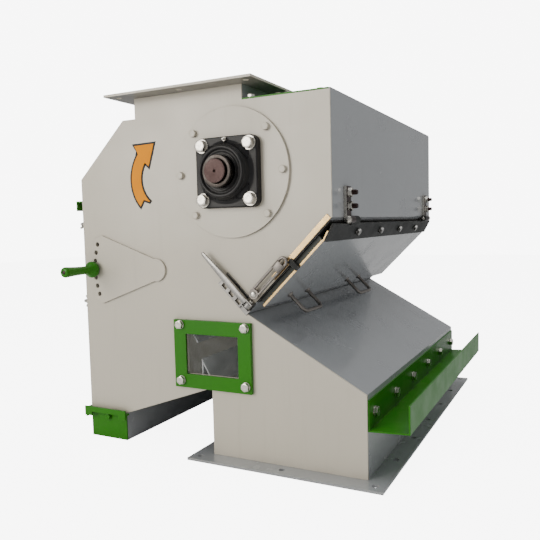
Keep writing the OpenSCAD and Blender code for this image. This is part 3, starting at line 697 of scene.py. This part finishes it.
def hinge_pin_set():
    """Pins with a round head on the outside and a chamfer at the far end."""
    bm = bmesh.new()
    for points in islands("hinge_pins"):
        inward = Vector(outward_y(points)) * -1
        m, low, high = along(points, inward)
        lathe(bm, raised(m, low), mm((0, 0), (2.6, 0.1), (5.0, 0.8), (6.0, 1.9), (6.0, 2.8), (4.0, 3.0)), 28)
        lathe(bm, m, [(4 * MM, low + 3 * MM)] + mm((4, -1), (3.2, 0), (0, 0), lift=high), 28)
    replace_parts(finish_mesh("hinge_pins_turned", bm, "zinc", "casing", 35), "hinge_pins")


def latch_pin_set():
    """The lever's cross pin has a chamfer at both ends, the others a riveted head."""
    bm = bmesh.new()
    for points in islands("latch_pins"):
        across = max(p.x for p in points) - min(p.x for p in points) > 14 * MM
        m, low, high = along(points, (S, 0, S) if across else (0, -1, 0))
        if across:
            profile = mm((0, 0), (3.2, 0), (4, 0.9), lift=low) + mm((4, -0.9), (3.2, 0), (0, 0), lift=high)
        else:
            profile = [(3 * MM, low)] + mm(
                (3, -2.5), (6, -2.5), (6, -1.6), (4.8, -0.6), (2.4, 0), (0, 0), lift=high)
        lathe(bm, m, profile, 28)
    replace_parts(finish_mesh("latch_pins_turned", bm, "zinc", "casing", 35), "latch_pins")


def wing(bm, m, side):
    """One ear of a wing nut, in the plane of its x and z axes; its crown is the outline drawn in."""
    outline = mm((3.5, 0.6), (9.0, 2.2), (13.2, 5.2), (14.0, 8.6), (12.6, 10.6), (9.4, 10.2), (6.2, 7.4),
                 (3.5, 6.0))
    mid_x, mid_z, draw_in = 8.6 * MM, 5.6 * MM, 0.72
    inner = [(mid_x + (x - mid_x) * draw_in, mid_z + (z - mid_z) * draw_in) for x, z in outline]
    rims = [ring(bm, m, [(side * x, y, z) for x, z in outline]) for y in (-1.3 * MM, 1.3 * MM)]
    crowns = [ring(bm, m, [(side * x, y, z) for x, z in inner]) for y in (-1.9 * MM, 1.9 * MM)]
    bridge(bm, *rims)
    for rim, crown in zip(rims, crowns):
        bridge(bm, rim, crown)
        bm.faces.new(crown)


def wing_nut_set():
    """Threaded studs with a wing nut on each, the nuts standing at different angles."""
    bm = bmesh.new()
    for points in islands("cover_studs"):
        m, low, high = along(points, (-1, 0, 0))
        seat = raised(m, high - 15 * MM)
        thread(bm, m, 4 * MM, low, high, 1.6 * MM)
        lathe(bm, seat, mm(
            (4, 0), (8, 0), (8, 1.2), (7.6, 1.6), (6.6, 1.7), (6.2, 3.2), (5.0, 8.6), (4.2, 9.4),
            (3.9, 9.4)), 28)
        ears = raised(seat, 0.6 * MM) @ Matrix.Rotation(40.0 * points[0].z, 4, "Z")
        for side in (-1, 1):
            wing(bm, ears, side)
    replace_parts(finish_mesh("cover_wing_nuts", bm, "zinc", "casing", 35), "cover_studs")


hinge_pin_set()
latch_pin_set()
wing_nut_set()


# ------------------------------------------------------------------ arrow outline

BORDER = 4.0 * MM        # how far the border reaches past the arrow
SET_BACK = 0.35 * MM     # behind the arrow's face
PLATE_GAP = 0.05 * MM    # clear of the side plate
SHARPEST = 0.45          # keeps a sharp corner's mitre from growing without end


def arrow_outline():
    """A dark border that stands a little behind the face of the arrow and reaches past its edges."""
    source = bmesh.new()
    source.from_mesh(NODES["rotation_arrow"].data)
    bmesh.ops.remove_doubles(source, verts=source.verts, dist=1e-6)
    front = min(v.co.y for v in source.verts)
    faces = [f for f in source.faces if all(v.co.y < front + 1e-5 for v in f.verts)]
    bm = bmesh.new()
    copy = {}
    for f in faces:
        for v in f.verts:
            if v not in copy:
                copy[v] = bm.verts.new((v.co.x, 0, v.co.z))
        bm.faces.new([copy[v] for v in f.verts])
    rim = [e for e in bm.edges if e.is_boundary]
    push = {}
    for e in rim:
        a, b = e.verts
        side = (b.co - a.co).cross(Vector((0, 1, 0))).normalized()
        centre = e.link_faces[0].calc_center_median()
        if side.dot(centre - a.co) > 0:
            side.negate()
        for v in e.verts:
            push.setdefault(v, []).append(side)
    for v, sides in push.items():
        mean = sum(sides, Vector()).normalized()
        v.co += mean * BORDER / max(SHARPEST, mean.dot(sides[0]))
    near, far = front + SET_BACK, FRONT - PLATE_GAP
    for v in bm.verts:
        v.co.y = near
    walls = {v: bm.verts.new((v.co.x, far, v.co.z)) for v in push}
    for e in rim:
        a, b = e.verts
        bm.faces.new((a, b, walls[b], walls[a]))
    source.free()
    finish_mesh("arrow_outline", bm, "dark_steel", "casing", 30)


arrow_outline()


# ------------------------------------------------------------------ door handles

def wire_handles():
    """Bent wire pulls with round corners and a weld collar at each foot."""
    bm = bmesh.new()
    out = Vector((S, 0, -S))
    wire, bend = 4 * MM, 11 * MM
    for points in islands("door_handles"):
        left, right = min(p.y for p in points) + wire, max(p.y for p in points) - wire
        m, low, high = along(points, out)
        base = out * low
        top = out * (high - wire)
        line = Vector((m.translation.x, 0, m.translation.z))
        legs = [Vector((line.x, y, line.z)) for y in (left, right)]
        path = [legs[0] + base, legs[0] + top, legs[1] + top, legs[1] + base]
        tube(bm, rounded(path, bend, 8), wire, 16)
        for leg in legs:
            lathe(bm, basis(leg + base, out), mm((0, 0), (7.2, 0), (6.9, 0.8), (5.6, 2.2), (4.1, 3.4)), 24)
    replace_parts(finish_mesh("door_wire_handles", bm, "wear_steel", "door", 50), "door_handles")


wire_handles()


# ------------------------------------------------------------------ painted highlights, painted shade and dark faces on CAD sheets

def repaint(node, slot, chosen):
    """Another material on some faces of a CAD node: chosen takes a face's middle and its normal."""
    mesh = NODES[node].data
    mesh.materials.append(M[slot])
    index = len(mesh.materials) - 1
    for poly in mesh.polygons:
        if chosen(poly.center, poly.normal):
            poly.material_index = index


DOOR_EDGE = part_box("door_panel")[1].y
PLATE_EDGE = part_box("side_plate_rear")[1].y
UNDER_BAR = Vector((-0.5043, 0, -0.8635))   # the lower edge of the bar along the door's top

SQUARE_ON = 0.9   # a face counts as turned this way

# Painted highlight: the door's end faces turn bright stainless, as a lit rim.
repaint("door_panel", "stainless",
        lambda p, n: abs(n.y) > SQUARE_ON and abs(abs(p.y) - DOOR_EDGE) < 1.5 * MM)
repaint("door_panel", "dark_steel", lambda p, n: p.y < -DOOR_EDGE - 1 * MM)
# Painted shade: the seat plate's faces between its two bright strips turn near black.
repaint("door_seat", "dark_steel", lambda p, n: abs(p.y) < PLATE_EDGE + 0.2 * MM)
# Painted highlight: the straps' faces that look along y turn bright zinc, as a lit edge.
repaint("hinge_straps", "zinc", lambda p, n: abs(n.y) > SQUARE_ON)
# Painted highlight: the face along the bar's lower edge turns bright zinc, as a lit edge.
repaint("door_top_bar", "zinc", lambda p, n: n.dot(UNDER_BAR) > SQUARE_ON)


# ------------------------------------------------------------------ flap clamp

FLUTES = 6
FLUTE_DEPTH = 0.055
FLUTED = (31 * MM, 95 * MM)


def fluted(a, h):
    depth = FLUTE_DEPTH if FLUTED[0] < h < FLUTED[1] else 0.0
    return 1 - depth * (0.5 - 0.5 * math.cos(FLUTES * a))


def clamp_grip():
    """The moulded clamp handle: ball collar, waist and fluted grip, with a rivet in its end."""
    low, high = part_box("clamp_handle")
    centre = Vector(((low.x + high.x) / 2, FRONT, (low.z + high.z) / 2))
    m = basis(centre, (0, -1, 0))
    bm = bmesh.new()
    lathe(bm, m, mm(
        (0, -8), (4, -8), (4, 5.2), (10.5, 5.2), (13.2, 5.8), (14.6, 7.4), (15.2, 8.8), (15.4, 9.4),
        (17.0, 10.2), (17.9, 12.4), (18, 15.5), (17.6, 18.6), (16.6, 20.6), (14.8, 22.4), (14.0, 22.9),
        (13.6, 23.9), (12.2, 27.4), (10.4, 30.6), (9.5, 34), (9.1, 40), (9.2, 52), (9.6, 64), (10.2, 76),
        (10.9, 86), (11.4, 92), (11.3, 95.4), (10.2, 98.2), (8.2, 99.4), (5.2, 99.7), (4.4, 99.0),
        (0, 98.8)), 60, fluted)
    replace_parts(finish_mesh("clamp_grip", bm, "green_paint", "clamp", 40), "clamp_handle")
    tip = bmesh.new()
    lathe(tip, raised(m, 98.7 * MM), mm((3.9, 0), (3.9, 0.7), (3.2, 1.15), (1.4, 1.25), (0, 1.25)), 24)
    finish_mesh("clamp_rivet", tip, "shaft_steel", "clamp", 40)


clamp_grip()


# ------------------------------------------------------------------ latch

LATCH = joint_at("latch_lift")


def latch_frame():
    """x runs up the lever to the left, y across it, z out of the casing, from the lever's pin."""
    x = Vector((-S, 0, S))
    z = Vector((0, -1, 0))
    m = Matrix((x, z.cross(x), z)).transposed().to_4x4()
    m.translation = LATCH
    return m


def channel(bm, m, stations, gauge):
    """A pressed channel, open towards -z: each station is (x, half width, top, depth of the flanges)."""
    bend = 1.6 * MM
    last = None
    for x, half, top, depth in stations:
        wall = half - gauge
        outer = [(-half, top - depth), (-half, top - bend), (-half + 0.3 * bend, top - 0.3 * bend),
                 (-half + bend, top), (0, top + 0.2 * MM), (half - bend, top),
                 (half - 0.3 * bend, top - 0.3 * bend), (half, top - bend), (half, top - depth)]
        inside = [(wall, top - depth), (wall, top - bend), (wall - 0.5 * bend, top - gauge), (0, top - gauge),
                  (0.5 * bend - wall, top - gauge), (-wall, top - bend), (-wall, top - depth)]
        here = ring(bm, m, [(x, y, z) for y, z in outer + inside])
        if last:
            bridge(bm, last, here)
        else:
            bm.faces.new(here)
        last = here
    bm.faces.new(list(reversed(last)))


def latch_lever_pressed():
    """The pressed lever with its barrel and the two webs that carry it."""
    bm = bmesh.new()
    m = latch_frame()
    gauge = 1.2 * MM
    rows = [(8, 5.6, 3.8, 6.5), (16, 5.8, 3.9, 7.5), (30, 6.2, 4.0, 7.5), (60, 6.9, 4.0, 6.0),
            (90, 6.2, 4.0, 5.0), (118, 4.9, 4.0, 4.0), (134, 4.0, 3.9, 3.4), (142, 3.4, 3.2, 2.6),
            (145, 2.9, 2.4, 2.0)]
    channel(bm, m, [tuple(v * MM for v in row) for row in rows], gauge)
    barrel = m @ Matrix.Rotation(math.pi / 2, 4, "X")
    lathe(bm, barrel, mm(
        (4.1, -5.4), (7.3, -5.4), (7.9, -4.8), (7.9, 4.8), (7.3, 5.4), (4.1, 5.4), (4.1, -5.4)), 36)
    web = mm((5.5, -4.6), (12, -3.4), (12, 3.6), (4.5, 4.0))
    for y in (-5.2 * MM, 4.0 * MM):
        a = ring(bm, m, [(x, y, z) for x, z in web])
        b = ring(bm, m, [(x, y + gauge, z) for x, z in web])
        bridge(bm, a, b)
        bm.faces.new(list(reversed(a)))
        bm.faces.new(b)
    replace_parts(finish_mesh("latch_lever_pressed", bm, "latch_steel", "lever", 35), "latch_lever")


def latch_hook_loop():
    """The wire loop with its eye and the pressed hook plate near its far end."""
    pivot = joint_at("loop_swing")
    x = Vector((S, 0, S))
    z = Vector((0, -1, 0))
    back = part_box("latch_loop")[1].y
    m = Matrix((x, z.cross(x), z)).transposed().to_4x4()
    m.translation = Vector((pivot.x, back, pivot.z))
    bm = bmesh.new()
    wire, half, length = 3 * MM, 7.5 * MM, 90 * MM
    eye, bend_steps = 7 * MM, 14
    lathe(bm, m, mm(
        (3.1, 0), (9.9, 0), (10.5, 0.6), (10.5, 5.4), (9.9, 6), (3.7, 6), (3.1, 5.4), (3.1, 0)), 40)
    path = [m @ Vector((eye, -half, wire))]
    path += [m @ Vector((length + half * math.sin(a), -half * math.cos(a), wire))
             for a in (math.pi * i / bend_steps for i in range(bend_steps + 1))]
    path.append(m @ Vector((eye, half, wire)))
    tube(bm, path, wire, 14)
    plate = mm((-9.0, 5.2), (-8.8, 7.0), (-7.6, 8.2), (-4.5, 8.9), (4.5, 8.9), (7.6, 8.2), (8.8, 7.0),
               (9.0, 5.2))
    under = [(y * 0.88, h - 1.3 * MM) for y, h in reversed(plate)]
    rows = [ring(bm, m, [(length - back_by, y * narrow, h - drop) for y, h in plate + under])
            for back_by, narrow, drop in ((22 * MM, 0.94, 0.3 * MM), (20.8 * MM, 1.0, 0),
                                          (5.2 * MM, 1.0, 0), (4 * MM, 0.94, 0.3 * MM))]
    for a, b in zip(rows, rows[1:]):
        bridge(bm, a, b)
    bm.faces.new(list(reversed(rows[0])))
    bm.faces.new(rows[-1])
    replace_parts(finish_mesh("latch_wire_loop", bm, "wear_steel", "loop", 40), "latch_loop")


latch_lever_pressed()
latch_hook_loop()


# ------------------------------------------------------------------ floor, lights and camera

FLOOR_GLOW = 7.0
AMBIENT = 0.40
BACKDROP = 8.0


def lay_floor():
    """A pale floor that the camera sees as white and that still takes shadows."""
    bm = bmesh.new()
    size = 14.0
    steps = 8
    below = -0.4 * MM
    grid = [[bm.verts.new((-size / 2 + size * i / steps, -size / 2 + size * j / steps, below))
             for j in range(steps + 1)] for i in range(steps + 1)]
    for i in range(steps):
        for j in range(steps):
            bm.faces.new((grid[i][j], grid[i + 1][j], grid[i + 1][j + 1], grid[i][j + 1]))
    mesh = bpy.data.meshes.new("floor")
    bm.to_mesh(mesh)
    bm.free()
    floor = bpy.data.objects.new("floor", mesh)
    bpy.context.scene.collection.objects.link(floor)
    g = Graph("floor_paint")
    g.set(Roughness=0.9, Emission_Color=(1.0, 1.0, 1.0, 1.0))
    shade = g.mix(g.span(g.noise(3, 3), 0.3, 0.7), (0.92, 0.92, 0.92), (0.89, 0.89, 0.89))
    g.link(shade, g.bsdf.inputs["Base Color"])
    seen = g.node("ShaderNodeLightPath").outputs["Is Camera Ray"]
    g.link(g.math("MULTIPLY", seen, FLOOR_GLOW), g.bsdf.inputs["Emission Strength"])
    mesh.materials.append(g.mat)


def area_light(name, place, target, size, power, colour=(1, 1, 1)):
    data = bpy.data.lights.new(name, "AREA")
    data.shape = "RECTANGLE"
    data.size, data.size_y = size
    data.energy = power
    data.color = colour
    lamp = bpy.data.objects.new(name, data)
    bpy.context.scene.collection.objects.link(lamp)
    lamp.location = place
    lamp.rotation_euler = (Vector(target) - Vector(place)).to_track_quat("-Z", "Y").to_euler()


def set_world():
    """White for the camera, a faint even light for everything else."""
    world = bpy.data.worlds.new("studio")
    bpy.context.scene.world = world
    world.use_nodes = True
    tree = world.node_tree
    back = tree.nodes["Background"]
    back.inputs["Color"].default_value = (1.0, 1.0, 1.0, 1.0)
    path = tree.nodes.new("ShaderNodeLightPath")
    strength = tree.nodes.new("ShaderNodeMapRange")
    strength.inputs["To Min"].default_value = AMBIENT
    strength.inputs["To Max"].default_value = BACKDROP
    tree.links.new(path.outputs["Is Camera Ray"], strength.inputs["Value"])
    tree.links.new(strength.outputs["Result"], back.inputs["Strength"])


CAMERA_PLACE = (0.5164, -1.446, 0.4779)
CAMERA_ANGLES = (27.16, 4.32, -1.42)   # azimuth, elevation and roll in degrees
LENS_MM = 41.30
SENSOR_MM = 36


def place_camera():
    azimuth, elevation, roll = (math.radians(a) for a in CAMERA_ANGLES)
    look = Vector((-math.sin(azimuth) * math.cos(elevation), math.cos(azimuth) * math.cos(elevation),
                   -math.sin(elevation)))
    right = Vector((math.cos(azimuth), math.sin(azimuth), 0))
    down = look.cross(right)
    c, s = math.cos(roll), math.sin(roll)
    x = c * right - s * down
    y = s * right + c * down
    data = bpy.data.cameras.new("camera")
    data.lens = LENS_MM
    data.sensor_width = SENSOR_MM
    data.clip_start = 0.01
    data.clip_end = 60
    camera = bpy.data.objects.new("camera", data)
    bpy.context.scene.collection.objects.link(camera)
    m = Matrix((x, -y, -look)).transposed().to_4x4()
    m.translation = Vector(CAMERA_PLACE)
    camera.matrix_world = m
    bpy.context.scene.camera = camera


lay_floor()
set_world()
area_light("key", place=(-2.1, -3.8, 1.55), target=(0, 0, 0.35), size=(2.2, 2.4), power=116,
           colour=(1.0, 0.955, 0.88))
area_light("right", place=(3.4, -0.6, 1.6), target=(0, 0, 0.35), size=(1.8, 1.8), power=3,
           colour=(0.90, 0.95, 1.0))
area_light("top", place=(0.4, 0.1, 3.6), target=(0, 0, 0.3), size=(2.6, 2.6), power=58)
place_camera()
